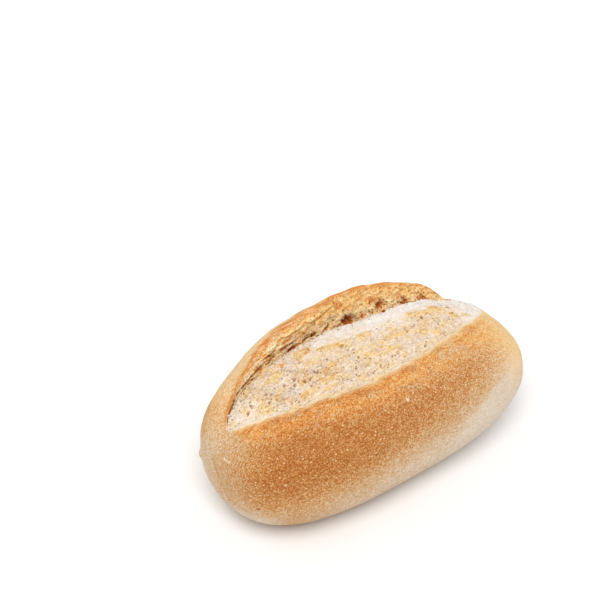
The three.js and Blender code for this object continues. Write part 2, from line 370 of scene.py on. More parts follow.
def sections_at(x):
    """The sizes of the cross-section at each x, one row for each."""
    x = x[:, None]
    along = x / END
    width = taper(along, PLAN_POWER)
    rise = taper(along, np.where(x < 0, LEFT_PROFILE_POWER, RIGHT_PROFILE_POWER))
    drop = taper(along, np.where(x < 0, LEFT_PROFILE_POWER, RIGHT_UNDERSIDE_POWER))
    score = x / np.where(x < 0, SCORE_LEFT, SCORE_RIGHT)
    opened = np.maximum(1 - score**2, 0) ** np.where(x < 0, OPENING_POWER_LEFT, OPENING_POWER_RIGHT)
    lip_wave = ripple(x, 0, LIP_WAVES) * LIP_WAVE_HEIGHT * opened
    edge_wave = ripple(x, 0, EDGE_WAVES) * EDGE_WAVE_HEIGHT * opened
    line = SCORE_OFFSET * width
    s = SimpleNamespace(x=x, opened=opened, ear=ear_share(x))
    s.sag = SAG * hump(x - SAG_MIDDLE, SAG_LENGTH) * opened
    s.near_half = SIDE * width
    s.far_half = SIDE * taper(along, np.where(x < 0, PLAN_POWER, FAR_RIGHT_PLAN_POWER))
    s.dome = DOME_RISE * rise
    s.underside = UNDERSIDE_DROP * drop
    s.near_edge = line - np.maximum(NEAR_OPENING * opened, CLOSED_NEAR * width) + edge_wave
    s.lip = line + np.maximum(LIP_OPENING * opened, CLOSED_LIP * width) + lip_wave
    gape = WALL_LEAN_MORE * hump(x - GAPE_MIDDLE, GAPE_LENGTH)
    s.crevice = s.lip - (mix(WALL_LEAN_CLOSED, WALL_LEAN, s.ear) + gape) * width
    s.outside = s.lip + np.maximum(LIP_THICKNESS * opened, CLOSED_THICKNESS * width)
    corner = EAR_CORNER * hump(x - EAR_CORNER_PLACE, EAR_CORNER_REACH)
    s.lip_height = dome_height(s, s.lip) + EAR_RISE * s.ear + corner - s.sag + lip_wave
    return s


def share_across(s, y):
    """How far across y is, as a share of the half width on its side of the middle."""
    return np.clip(y / np.where(y < 0, s.near_half, s.far_half), -1, 1)


def dome_height(s, y):
    """Height of the plain dome at y, before the score opened."""
    return GIRTH_LEVEL + s.dome * taper(share_across(s, y), DOME_POWER)


def on_tray(height):
    """The tray holds the underside up, and the side rounds into it."""
    rounded = (height + TRAY_ROUNDING) ** 2 / (4 * TRAY_ROUNDING)
    return np.where(height > TRAY_ROUNDING, height, np.where(height < -TRAY_ROUNDING, 0, rounded))


def crust_point(s, angle, stretch):
    """A point of the plain crust by the angle round it: 0 below, then the near side, pi on top."""
    across, up = np.sin(angle), -np.cos(angle)
    power = np.where(up > 0, 2 / DOME_POWER, 2 / UNDERSIDE_POWER)
    rise = np.where(up > 0, s.dome * stretch, s.underside)
    half = np.where(across > 0, s.near_half, s.far_half)
    return -half * signed_power(across, power), on_tray(GIRTH_LEVEL + rise * signed_power(up, power))


def angle_on_top(s, y):
    """The angle round the crust at which it is y from the middle, on top."""
    return math.pi + np.arcsin(signed_power(share_across(s, y), DOME_POWER / 2))


def near_crust(s, share):
    """The crust from below, round the near side and up to the edge of the burst."""
    return crust_point(s, share * angle_on_top(s, s.near_edge), 1)


def burst(s, share):
    """The burst, from the near crust's edge over its crest and down into the crevice."""
    y = mix(s.near_edge, s.crevice, share)
    skew = math.log(0.5) / math.log(BURST_CREST)
    swell = np.maximum(np.sin(math.pi * share**skew), 0) ** BURST_FULLNESS
    down = np.clip((share - CREVICE_START) / (1 - CREVICE_START), 0, 1) ** 2
    groove = hump(y - s.near_edge - EDGE_GROOVE_WIDTH, EDGE_GROOVE_WIDTH)
    ridge = ripple(s.x, y, RIDGE_WAVES) * np.sin(math.pi * share)
    rise = BURST_RISE * swell + RIDGE_HEIGHT * ridge - EDGE_GROOVE * groove
    torn_open = s.ear * ease(STRANDED_LEFT, STRANDED_RIGHT, s.x)
    depth = mix(CREVICE_END_DEPTH, CREVICE_DEPTH, torn_open) * down
    return y, dome_height(s, y) + (rise - depth) * s.opened - s.sag * share


def torn_wall(s, share):
    """The ear's torn wall, from the crevice up to its lip."""
    y, foot = burst(s, np.ones((1, 1)))
    height = mix(foot, s.lip_height, share)
    crag = CRAG_HEIGHT * ripple(s.x, height, CRAG_WAVES) * np.sin(math.pi * share)
    beside_lip = hump(s.lip_height - height - STRAND_BELOW_LIP, STRAND_HALF_WIDTH)
    strand = STRAND_STAND_OUT * beside_lip * hump(s.x - STRAND_MIDDLE, STRAND_HALF_LENGTH)
    depth = sum(deep * MM * in_cavity(s.x, height, *place) for *place, deep in CAVITIES)
    return mix(y, s.lip, share**WALL_HOLLOW) + (crag - strand) * s.ear + depth, height


def in_cavity(x, height, along, up, reach_along, reach_up):
    """How far inside a cavity of the torn wall a place is, from none at its edge to one."""
    off = np.hypot((x / MM - along) / reach_along, (height / MM - up) / reach_up)
    return hump(np.clip(off + CAVITY_RAGGED * ripple(x, height, CAVITY_WAVES), 0, 1), 1)


def far_crust(s, share):
    """The far crust, from the outside of the lip down round the far side to the bottom."""
    lip_rise = s.lip_height - dome_height(s, s.lip)
    outside_dome = dome_height(s, s.outside) - GIRTH_LEVEL
    stretch = (outside_dome + lip_rise) / outside_dome
    y, height = crust_point(s, mix(angle_on_top(s, s.outside), 2 * math.pi, share), stretch)
    curl = np.where((y > s.outside) & (height > GIRTH_LEVEL), (y - s.outside) / SHOULDER_REACH, 0)
    shoulder = SHOULDER_RISE * s.opened * hump(s.x - SHOULDER_MIDDLE, SHOULDER_LENGTH)
    lift = np.clip((height - GIRTH_LEVEL) / DOME_RISE, 0, 1)
    return y, height + shoulder * curl * np.exp(1 - curl) * lift


def lip_edge(s, share):
    """The lip's rounded edge, between the torn wall and the far crust."""
    outside_y, outside_height = far_crust(s, np.zeros((1, 1)))
    bead = LIP_THICKNESS / 2 * s.opened * np.sin(math.pi * share)
    return mix(s.lip, outside_y, share), mix(s.lip_height, outside_height, share) + bead


def spread(s, stretch, count):
    """Points evenly along a stretch of every cross-section, without its last point.

    Gives y and z, and how far each point is from the stretch's start and from its end.
    """
    y, z = np.broadcast_arrays(*stretch(s, np.linspace(0, 1, CURVE_SAMPLES)[None, :]))
    steps = np.hypot(np.diff(y), np.diff(z))
    run = np.concatenate([np.zeros((len(y), 1)), np.cumsum(steps, axis=1)], axis=1)
    rows = []
    for row in range(len(y)):
        place = np.linspace(0, run[row, -1], count + 1)[:-1]
        along = [np.interp(place, run[row], line[row]) for line in (y, z)]
        rows.append(along + [place, run[row, -1] - place])
    y, z, from_start, to_end = np.array(rows).transpose(1, 0, 2)
    return SimpleNamespace(y=y, z=z, from_start=from_start, to_end=to_end)


def distance_to(place, points):
    """How far each point is from a place."""
    return np.linalg.norm(points - np.array(place), axis=1)


def on_crease(points):
    """How near the left end's crease each point is, from none a reach away to one on it."""
    nearest = math.inf
    for start, end in zip(np.array(CREASE) * MM, np.array(CREASE[1:]) * MM):
        run = end - start
        share = np.clip((points - start) @ run / (run @ run), 0, 1)
        nearest = np.minimum(nearest, np.linalg.norm(points - start - share[:, None] * run, axis=1))
    return hump(nearest, CREASE_REACH)


def uneven_skin(points):
    """Slow swells of the whole skin, and a pinch of dough and a crease on the left end."""
    outward = (points - (0, 0, GIRTH_LEVEL)) * (SKIN_END_SHARE, 1, 1)
    outward /= np.linalg.norm(outward, axis=1, keepdims=True)
    clear_of_tray = np.clip(points[:, 2] / GIRTH_LEVEL, 0, 1)
    waves = ripple(points[:, 0], points[:, 1] + points[:, 2], SKIN_WAVES)
    swell = SKIN_HEIGHT * waves * clear_of_tray
    nub = NUB_HEIGHT * hump(distance_to(NUB_PLACE, points), NUB_RADIUS)
    crease = CREASE_DEPTH * on_crease(points)
    return points + outward * (swell + nub - crease)[:, None]


def fit_to_solid(points):
    """Sets the middle of the points' box over the solid's, so that both stand in one place."""
    middle = (points.min(axis=0) + points.max(axis=0)) / 2
    solid_middle = (roll_low + roll_high) / 2
    points[:, :2] += np.array(solid_middle.xy) - middle[:2]
    return points


def on_strokes(x, y, strokes):
    """How near the middle of a stroke a place is, from none beside the strokes to one."""
    x, y = x / MM, y / MM
    height = 0
    for (start_x, start_y), (end_x, end_y), half_width in strokes:
        run_x, run_y = end_x - start_x, end_y - start_y
        along = (x - start_x) * run_x + (y - start_y) * run_y
        share = np.clip(along / (run_x**2 + run_y**2), 0, 1)
        off = np.hypot(x - start_x - share * run_x, y - start_y - share * run_y)
        height = np.maximum(height, hump(off, STROKE_SPREAD * half_width))
    return height


def in_hollows(x, y):
    """How deep in the burst's floury hollows a place is, from none outside them to one."""
    depth = 0
    for along, across, reach_along, reach_across in HOLLOWS:
        off = np.hypot((x / MM - along) / reach_along, (y / MM - across) / reach_across)
        depth = np.maximum(depth, hump(off, 1))
    return depth


def spots_at(points, spots):
    """Round spots of change added up, each none a reach from its middle."""
    return sum(change * hump(distance_to(middle, points), reach) for middle, reach, change in spots)


def crust_bake(points):
    """How brown the crust is at each point, from 0, pale, to 1."""
    x, y, z = points.T
    level = np.interp(x / MM, FADE_ALONG, FADE_LEVELS) * MM
    reach = np.interp(x / MM, FADE_ALONG, FADE_REACHES) * MM
    full = FULL_BAKE + FULL_SLOPE * x - RIGHT_LOSS * ease(*RIGHT_FADE, x)
    near = mix(PALE_BAKE + PALE_SLOPE * x, full, ease(level - reach, level + reach, z))
    floured_level = np.interp(x / MM, FLOURED_ALONG, FLOURED_LEVELS) * MM
    floured = ease(floured_level + FLOURED_REACH, floured_level - FLOURED_REACH, z)
    floured = floured * ease(*FLOURED_START, x)
    near = near * (1 - FLOURED_LOSS * floured) + spots_at(points, NEAR_SPOTS)
    band = FAR_BAND * hump(z - FAR_BAND_LEVEL, FAR_BAND_REACH) * ease(*FAR_LEFT, x)
    far = (FAR_BAKE - FAR_LOSS * ease(*FAR_LOSS_LEFT, x)) * ease(*FAR_FADE, z) + band
    bake = mix(near, far, ease(*FAR_SIDE, y)) + spots_at(points, BAKE_SPOTS)
    # Painted shade along the crease
    bake = bake + CREASE_SHADE * on_crease(points)
    return np.maximum(bake, TRAY_BAKE * ease(TRAY_LEVEL, 0, z))


def crust_golden(points):
    """How golden the crust is at each point, over its browning."""
    far = GOLDEN_FAR * ease(*FAR_SIDE, points[:, 1]) * ease(*GOLDEN_LEFT, points[:, 0])
    return np.minimum(spots_at(points, GOLDEN_SPOTS) + far, 1)


def over(parts, on_near=0, on_burst=0, on_wall=0, on_lip=0, on_far=0):
    """One value a vertex from those of each stretch, with none on the two ends."""
    blocks = zip((on_near, on_burst, on_wall, on_lip, on_far), parts)
    values = [np.broadcast_to(block, part.y.shape) for block, part in blocks]
    return np.concatenate([np.concatenate(values, axis=1).ravel(), [0, 0]])


def edge_masks(s, parts, opened):
    """Values for the crust and the crumb beside the burst's near edge and along the lip."""
    near, crumb, wall, _, far = parts
    near_toast = hump(near.to_end - NEAR_TOAST, NEAR_TOAST) * ease(*TOAST_RIGHT, s.x) * opened
    near_rim = np.exp(-near.to_end / NEAR_RIM_WIDTH) * opened
    burst_rim = np.exp(-crumb.from_start / BURST_RIM_WIDTH) * opened
    toasted = mix(LIP_GLOW_LEAST, 1, ease(*LIP_GLOW_RIGHT, s.x)) * opened
    from_lip = (wall.to_end, far.from_start)
    wall_rim, far_rim = (np.exp(-run / RIM_WIDTH) * toasted for run in from_lip)
    wall_glow, far_glow = (np.exp(-run / LIP_GLOW_WIDTH) * toasted for run in from_lip)
    lip_glow = LIP_EDGE_GLOW * toasted
    return {
        "near_rim": over(parts, on_near=near_rim, on_burst=burst_rim),
        "near_glow": over(parts, on_near=ease(*GLOW_FADE, near.to_end) * opened),
        "near_toast": over(parts, on_near=near_toast),
        "lip_rim": over(parts, on_wall=wall_rim, on_lip=toasted, on_far=far_rim),
        "lip_glow": over(parts, on_wall=wall_glow, on_lip=lip_glow, on_far=far_glow),
    }


def burst_masks(s, parts, opened):
    """Values for the burst's relief and its crumb."""
    crumb = parts[1]
    across = crumb.from_start / (crumb.from_start + crumb.to_end)
    crest = hump(across - FLOUR_CREST, FLOUR_CREST_REACH) * hump(s.x - FLOUR_MIDDLE, FLOUR_LENGTH)
    tips = FLOUR_RIGHT_TIP * ease(*FLOUR_RIGHT, s.x) + FLOUR_LEFT_TIP * ease(*FLOUR_LEFT, s.x)
    masks = {
        "burst": ease(0, BURST_BLEND, crumb.from_start),
        "flake": on_strokes(s.x, crumb.y, FLAKES),
        "hollow": in_hollows(s.x, crumb.y),
        "ragged": ease(*RAGGED_FROM, across),
        "flour": np.maximum(crest, tips),
    }
    return {name: over(parts, on_burst=values * opened) for name, values in masks.items()}


def wall_masks(s, parts, opened):
    """Values for the torn wall's relief and its crumb, and for the shade painted in its cavities and
    along its crevice.
    """
    _, crumb, wall, _, _ = parts
    # Painted shade in the cavities, darker the deeper each one is
    cavity_shade = sum(min(deep / CAVITY_SHADE_DEPTH, 1) * in_cavity(s.x, wall.z, *place) for *place, deep in CAVITIES)
    crest_height = crumb.z[:, BURST_POINTS // 2 :].max(axis=1, keepdims=True)
    crevice_shadow_height = crest_height - CREVICE_SHADOW_DROP * s.opened
    # A dark line painted on the wall where the crevice's shadow falls, below the burst's crest
    crevice_shadow = hump(crevice_shadow_height - wall.z, CREVICE_SHADOW_REACH) * ease(*CREVICE_SHADOW_RIGHT, s.x)
    masks = {
        "wall": ease(0, ZONE_BLEND, wall.to_end) * opened,
        "wall_toast": on_strokes(s.x, wall.z, WALL_STROKES),
        "foot": ease(crest_height, crest_height - FOOT_DROP, wall.z) * opened,
        "crevice_shadow": crevice_shadow * opened,
        "cavity_shade": np.minimum(cavity_shade, 1),
    }
    return {name: over(parts, on_wall=values) for name, values in masks.items()}


def roll_masks(s, parts, points):
    """Named values for every vertex, which the relief and the materials read."""
    opened = ease(SCORED, WELL_OPEN, s.opened)
    masks = edge_masks(s, parts, opened) | burst_masks(s, parts, opened) | wall_masks(s, parts, opened)
    stranded = ease(STRANDED_RIGHT, STRANDED_LEFT, s.x)
    cell = mix(ROUND_CELL, STRAND_CELL, stranded)
    run = np.cumsum(np.gradient(s.x[:, 0]) / cell[:, 0])[:, None]
    lighter = GLOW_LIGHTENING * ease(*GLOW_RIGHT, s.x) * ease(*GLOW_LEFT, s.x)
    return masks | {
        "stranded": over(parts, on_burst=stranded, on_wall=stranded),
        "cell_run": over(parts, run, run, run, run, run),
        "bake": crust_bake(points) - over(parts, on_near=lighter) * masks["near_glow"],
        "golden": crust_golden(points),
    }


def face_kinds(s):
    """Which material each face takes: 0 crust, 1 the burst's crumb, 2 the torn wall's."""
    counts = [NEAR_POINTS, BURST_POINTS, WALL_POINTS, LIP_POINTS, FAR_POINTS]
    around = np.repeat([0, 1, 2, 0, 0], counts)
    scored = (s.opened[:-1] > SCORED) & (s.opened[1:] > SCORED)
    ends = np.zeros(2 * len(around))
    return np.concatenate([(around[None, :] * scored).ravel(), ends])


def roll_faces(sections, around):
    """Quads between neighbouring cross-sections, and a fan of triangles on each end."""
    ring = np.arange(sections - 1)[:, None] * around
    here = np.arange(around)[None, :]
    after = (here + 1) % around
    following = ring + around
    quads = np.stack([ring + here, following + here, following + after, ring + after], axis=-1)
    last = (sections - 1) * around
    left, right = sections * around, sections * around + 1
    fans = [(left, j, (j + 1) % around) for j in range(around)]
    fans += [(right, last + (j + 1) % around, last + j) for j in range(around)]
    return [tuple(quad) for quad in quads.reshape(-1, 4).tolist()] + fans


def store(mesh, name, domain, values):
    """Keeps one named value for each vertex or each face of a mesh."""
    mesh.attributes.new(name, "FLOAT", domain).data.foreach_set("value", values.astype(np.float32))


def roll_mesh():
    """The smooth roll, with its masks as named values of its vertices and its faces' kinds."""
    x = stations()[1:-1]
    s = sections_at(x)
    stretches = (
        (near_crust, NEAR_POINTS),
        (burst, BURST_POINTS),
        (torn_wall, WALL_POINTS),
        (lip_edge, LIP_POINTS),
        (far_crust, FAR_POINTS),
    )
    parts = [spread(s, stretch, count) for stretch, count in stretches]
    y = np.concatenate([part.y for part in parts], axis=1)
    z = np.concatenate([part.z for part in parts], axis=1)
    rings = np.stack([np.broadcast_to(x[:, None], y.shape), y, z], axis=-1).reshape(-1, 3)
    ends = np.array([[-END, 0, GIRTH_LEVEL], [END, 0, GIRTH_LEVEL]])
    points = fit_to_solid(uneven_skin(np.concatenate([rings, ends])))
    mesh = bpy.data.meshes.new("baked_roll")
    mesh.from_pydata(points.tolist(), [], roll_faces(len(x), y.shape[1]))
    for name, values in roll_masks(s, parts, points).items():
        store(mesh, name, "POINT", values)
    store(mesh, "kind", "FACE", face_kinds(s))
    mesh.shade_smooth()
    return mesh


# Node trees

NUMBER = "NodeSocketFloat"
COLOUR = "NodeSocketColor"
VECTOR = "NodeSocketVector"
GEOMETRY = "NodeSocketGeometry"
MATERIAL = "NodeSocketMaterial"
WHOLE_NUMBER = "NodeSocketInt"


def feed(tree, socket, value):
    """Links an output to a socket, or sets the socket's own value."""
    if isinstance(value, bpy.types.NodeSocket):
        tree.links.new(value, socket)
    else:
        socket.default_value = value


def node(tree, kind, inputs=None, **settings):
    """Adds a node, with its settings, and with its inputs by name or number."""
    made = tree.nodes.new(kind)
    for name, value in settings.items():
        setattr(made, name, value)
    for key, value in (inputs or {}).items():
        feed(tree, made.inputs[key], value)
    return made


def calc(tree, operation, *values):
    """A Math node's result."""
    return node(tree, "ShaderNodeMath", dict(enumerate(values)), operation=operation).outputs[0]


def total(tree, *values):
    """The sum of several values."""
    return reduce(partial(calc, tree, "ADD"), values)


def product(tree, *values):
    """Several values multiplied."""
    return reduce(partial(calc, tree, "MULTIPLY"), values)


def centred(tree, value):
    """A value from 0 to 1, moved to lie about 0."""
    return calc(tree, "SUBTRACT", value, 0.5)


def fade(tree, value, low, high, start=0.0, end=1.0):
    """The value eased from start at low to end at high."""
    inputs = {"Value": value, "From Min": low, "From Max": high, "To Min": start, "To Max": end}
    return node(tree, "ShaderNodeMapRange", inputs, interpolation_type="SMOOTHSTEP").outputs[0]


def blend(tree, share, first, second, kind="MIX"):
    """Two colours mixed."""
    inputs = {0: share, 6: first, 7: second}
    return node(tree, "ShaderNodeMix", inputs, data_type="RGBA", blend_type=kind).outputs[2]


def vector(tree, operation, *values):
    """A Vector Math node's result."""
    return node(tree, "ShaderNodeVectorMath", dict(enumerate(values)), operation=operation).outputs[0]


def scaled(tree, arrow, share):
    """A vector or a colour multiplied by a number."""
    return node(tree, "ShaderNodeVectorMath", {0: arrow, "Scale": share}, operation="SCALE").outputs[0]


def joined(tree, along, across, up):
    """A place from its three parts."""
    return node(tree, "ShaderNodeCombineXYZ", {0: along, 1: across, 2: up}).outputs[0]


def parted(tree, place):
    """The three parts of a place or a colour."""
    return node(tree, "ShaderNodeSeparateXYZ", {0: place}).outputs


def stretched(tree, place, along, across, up):
    """A place measured in lengths of its own along, across and up."""
    return vector(tree, "DIVIDE", place, joined(tree, along, across, up))


def sized(tree, place, size):
    """A place measured in one length all ways."""
    return stretched(tree, place, size, size, size)


def noise(tree, place, detail=2.0, roughness=0.5):
    """Cloudy noise about one unit in size, from 0 to 1 with most of it near the middle."""
    inputs = {"Vector": place, "Scale": 1.0, "Detail": detail, "Roughness": roughness}
    return node(tree, "ShaderNodeTexNoise", inputs).outputs[0]


def drawn_out(tree, place, length, width, detail=2.0, roughness=0.5):
    """Cloudy noise of a length along the roll and a width across it."""
    return noise(tree, stretched(tree, place, length, width, width), detail, roughness)


def bent(tree, place, guide, scale):
    """A place pushed about by noise that is read at another place."""
    push = node(tree, "ShaderNodeTexNoise", {"Vector": guide, "Scale": scale}).outputs["Color"]
    return vector(tree, "ADD", push, place)


HOLE_FLOOR = 0.35  # the share of a hole's radius that is at its full depth


def holes(tree, place, share, radius):
    """Round spots at scattered places one unit apart: 1 in the middle of each and 0 outside.

    Share is how many of the places have a spot, and radius is measured in the same unit.
    """
    cells = node(tree, "ShaderNodeTexVoronoi", {"Vector": place, "Scale": 1.0})
    chosen = calc(tree, "LESS_THAN", parted(tree, cells.outputs["Color"])[0], share)
    return product(tree, chosen, fade(tree, cells.outputs["Distance"], radius, HOLE_FLOOR * radius))


def new_tree(name, kind, inputs, outputs):
    """An empty node group with named sockets, and the sockets of its two end nodes."""
    tree = bpy.data.node_groups.new(name, kind)
    for socket, socket_kind in inputs.items():
        tree.interface.new_socket(socket, in_out="INPUT", socket_type=socket_kind)
    for socket, socket_kind in outputs.items():
        tree.interface.new_socket(socket, in_out="OUTPUT", socket_type=socket_kind)
    return tree, tree.nodes.new("NodeGroupInput").outputs, tree.nodes.new("NodeGroupOutput").inputs


# Relief

RELIEF = {
    "Fold length": 9 * MM,
    "Fold width": 2.8 * MM,
    "Fold height": 2.7 * MM,
    "Flake height": 0.45 * MM,
    "Hollow depth": 0.7 * MM,
    "Pore spacing": 2 * MM,
    "Fine pore spacing": 1.1 * MM,
    "Pore cluster": 7 * MM,
    "Pore depth": 1 * MM,
    "Crumb size": 1 * MM,
    "Crumb height": 0.5 * MM,
    "Ragged height": 2.8 * MM,
    "Cell width": 0.9 * MM,
    "Cell depth": 0.6 * MM,
    "Tear height": 2 * MM,
    "Skin swell": 8 * MM,
    "Skin swell height": 0.35 * MM,
    "Skin grain": 1.3 * MM,
    "Skin grain height": 0.08 * MM,
    "Seed": SEED,
}
PORE_RADIUS = 0.34  # in pore spacings
FINE_PORE_RADIUS = 0.3
PORE_BEND = 0.8  # how closely the noise that scatters the pores is packed
CELL_RADIUS = 0.42  # in cell widths
CELL_BEND = 0.9
TEAR_SPREAD = 0.7  # how many swells of the torn crumb there are to a cell
CELL_SHADE = 0.25  # how far a cell lies back from what stands out
PRESSED_FLAT = 5 * MM  # up to this height the tray smooths the crust
SAME_KIND = 0.49  # a face's kind is within this of its whole number


def mask(tree, name):
    """A named value of the mesh, as a field."""
    found = node(tree, "GeometryNodeInputNamedAttribute", {"Name": name}, data_type="FLOAT")
    return found.outputs["Attribute"]


def keep(tree, geometry, name, value):
    """Stores a field under a name on the mesh, for the materials."""
    inputs = {"Geometry": geometry, "Name": name, "Value": value}
    kind = "GeometryNodeStoreNamedAttribute"
    return node(tree, kind, inputs, data_type="FLOAT", domain="POINT").outputs[0]


def burst_relief(tree, given, place):
    """Folds drawn out along the score, toasted flakes, hollows, pores in clusters, and crumb.

    Gives how far the burst rises, and its folds and its pores.
    """
    fold = drawn_out(tree, place, given["Fold length"], given["Fold width"], 3.0)
    cluster = noise(tree, sized(tree, place, given["Pore cluster"]), 1.0)
    unfloured = fade(tree, mask(tree, "flour"), 0.0, 0.7, 1.0, 0.15)
    bare = product(tree, unfloured, fade(tree, mask(tree, "stranded"), 0.0, 0.8, 0.6, 1.3))
    fine_place = sized(tree, place, given["Fine pore spacing"])
    wide_place = bent(tree, sized(tree, place, given["Pore spacing"]), fine_place, PORE_BEND)
    wide_share = product(tree, fade(tree, cluster, 0.4, 0.58, 0.05, 0.9), bare)
    fine_share = product(tree, fade(tree, cluster, 0.35, 0.6, 0.08, 0.5), bare)
    wide_pore = holes(tree, wide_place, wide_share, PORE_RADIUS)
    pore = calc(tree, "MAXIMUM", wide_pore, holes(tree, fine_place, fine_share, FINE_PORE_RADIUS))
    crumb = centred(tree, noise(tree, sized(tree, place, given["Crumb size"]), 3.0))
    heights = (given["Crumb height"], given["Ragged height"])
    rise = total(
        tree,
        product(tree, centred(tree, fold), given["Fold height"]),
        product(tree, mask(tree, "flake"), given["Flake height"]),
        product(tree, mask(tree, "hollow"), given["Hollow depth"], -1.0),
        product(tree, pore, given["Pore depth"], -1.0),
        product(tree, crumb, fade(tree, mask(tree, "ragged"), 0.0, 1.0, *heights)),
    )
    return rise, fold, pore


def wall_relief(tree, given, place):
    """Ragged crumb with small open cells, drawn out along the lip on the left.

    Gives how far the torn wall rises, its cells, and how much each place stands out.
    """
    width = given["Cell width"]
    _, across, up = parted(tree, place)
    across = calc(tree, "DIVIDE", across, width)
    up = calc(tree, "DIVIDE", up, width)
    cell_place = joined(tree, mask(tree, "cell_run"), across, up)
    cell_place = bent(tree, cell_place, cell_place, CELL_BEND)
    foot = mask(tree, "foot")
    stranded = mask(tree, "stranded")
    share = fade(tree, foot, 0.0, 1.0, 0.14, 0.45)
    share = product(tree, share, fade(tree, stranded, 0.0, 1.0, 1.0, 0.4))
    cell = holes(tree, cell_place, share, CELL_RADIUS)
    torn = noise(tree, scaled(tree, cell_place, TEAR_SPREAD), 3.0, 0.6)
    tear_share = fade(tree, stranded, 0.0, 1.0, 1.0, 0.6)
    rise = total(
        tree,
        product(tree, centred(tree, torn), given["Tear height"], tear_share),
        product(tree, cell, given["Cell depth"], fade(tree, foot, 0.0, 1.0, -1.0, -2.2)),
    )
    return rise, cell, calc(tree, "SUBTRACT", torn, product(tree, cell, CELL_SHADE))


def skin_relief(tree, given, place, position):
    """Slow swells and a fine grain of the crust, which the tray presses flat underneath."""
    swell = centred(tree, noise(tree, sized(tree, place, given["Skin swell"]), 1.0))
    grain = centred(tree, noise(tree, sized(tree, place, given["Skin grain"]), 2.0))
    rise = total(
        tree,
        product(tree, swell, given["Skin swell height"]),
        product(tree, grain, given["Skin grain height"]),
    )
    return product(tree, rise, fade(tree, parted(tree, position)[2], 0.0, PRESSED_FLAT))


def relief_tree():
    """Roughens the smooth roll, keeps what the materials read, and sets the materials."""
    inputs = {"Roll": GEOMETRY, **{name: NUMBER for name in RELIEF}, "Seed": WHOLE_NUMBER}
    inputs |= {"Crust": MATERIAL, "Burst crumb": MATERIAL, "Torn crumb": MATERIAL}
    tree, given, result = new_tree("Bread relief", "GeometryNodeTree", inputs, {"Roll": GEOMETRY})
    position = node(tree, "GeometryNodeInputPosition").outputs[0]
    place = vector(tree, "ADD", position, joined(tree, given["Seed"], given["Seed"], given["Seed"]))
    burst_rise, fold, pore = burst_relief(tree, given, place)
    wall_rise, cell, stands_out = wall_relief(tree, given, place)
    skin_rise = skin_relief(tree, given, place, position)
    in_burst = mask(tree, "burst")
    in_wall = mask(tree, "wall")
    in_skin = calc(tree, "SUBTRACT", 1.0, calc(tree, "ADD", in_burst, in_wall))
    rise = total(
        tree,
        product(tree, in_burst, burst_rise),
        product(tree, in_wall, wall_rise),
        product(tree, in_skin, skin_rise),
    )
    kept = {
        "fold_top": product(tree, in_burst, fade(tree, fold, 0.5, 0.7)),
        "stands_out": stands_out,
        "pore": product(tree, in_burst, pore),
        "cell": product(tree, in_wall, cell),
    }
    roll = given["Roll"]
    for name, value in kept.items():
        roll = keep(tree, roll, name, value)
    offset = scaled(tree, node(tree, "GeometryNodeInputNormal").outputs[0], rise)
    roll = node(tree, "GeometryNodeSetPosition", {"Geometry": roll, "Offset": offset}).outputs[0]
    roll = node(tree, "GeometryNodeRealizeInstances", {0: roll}).outputs[0]
    inputs = {"Geometry": roll, "Material": given["Crust"]}
    roll = node(tree, "GeometryNodeSetMaterial", inputs).outputs[0]
    for kind, name in ((1, "Burst crumb"), (2, "Torn crumb")):
        off = calc(tree, "ABSOLUTE", calc(tree, "SUBTRACT", mask(tree, "kind"), float(kind)))
        chosen = calc(tree, "LESS_THAN", off, SAME_KIND)
        inputs = {"Geometry": roll, "Selection": chosen, "Material": given[name]}
        roll = node(tree, "GeometryNodeSetMaterial", inputs).outputs[0]
    feed(tree, result["Roll"], roll)
    return tree


def grow(piece, tree, values):
    """Runs a tree on a piece and leaves the result as its plain mesh."""
    modifier = piece.modifiers.new(tree.name, "NODES")
    modifier.node_group = tree
    for item in tree.interface.items_tree:
        if item.in_out == "INPUT" and item.name in values:
            modifier[item.identifier] = values[item.name]
    depsgraph = bpy.context.evaluated_depsgraph_get()
    grown = piece.evaluated_get(depsgraph)
    mesh = bpy.data.meshes.new_from_object(grown, preserve_all_data_layers=True, depsgraph=depsgraph)
    piece.modifiers.clear()
    piece.data = mesh


# Effects that the materials use, as node groups

GRANULE_FLOOR = 0.6  # the share of a granule's radius that stands out in full
FLOUR = srgb(244, 235, 226)
BROWNEST = 1.4  # the bake at the dark end of the scale of crust colours
BAKED_COLOURS = (
    (0.0, srgb(232, 217, 200)),
    (0.12, srgb(223, 202, 177)),
    (0.25, srgb(218, 188, 151)),
    (0.4, srgb(212, 169, 120)),
    (0.55, srgb(205, 153, 95)),
    (0.7, srgb(197, 136, 74)),
    (0.85, srgb(188, 120, 55)),
    (1.0, srgb(178, 104, 40)),
    (BROWNEST, srgb(150, 80, 26)),
)


def specks_group():
    """Small uneven specks scattered over a surface: fewer and smaller the higher the level."""
    inputs = {"Place": VECTOR, "Size": NUMBER, "Level": NUMBER, "Softness": NUMBER, "Shift": NUMBER}
    tree, given, result = new_tree("Fine specks", "ShaderNodeTree", inputs, {"Speck": NUMBER})
    place = vector(tree, "ADD", sized(tree, given["Place"], given["Size"]), given["Shift"])
    inputs = {"Vector": place, "Scale": 1.0, "Detail": 1.0, "Distortion": 0.2}
    cloud = node(tree, "ShaderNodeTexNoise", inputs).outputs[0]
    full = calc(tree, "ADD", given["Level"], given["Softness"])
    feed(tree, result["Speck"], fade(tree, cloud, given["Level"], full))
    return tree


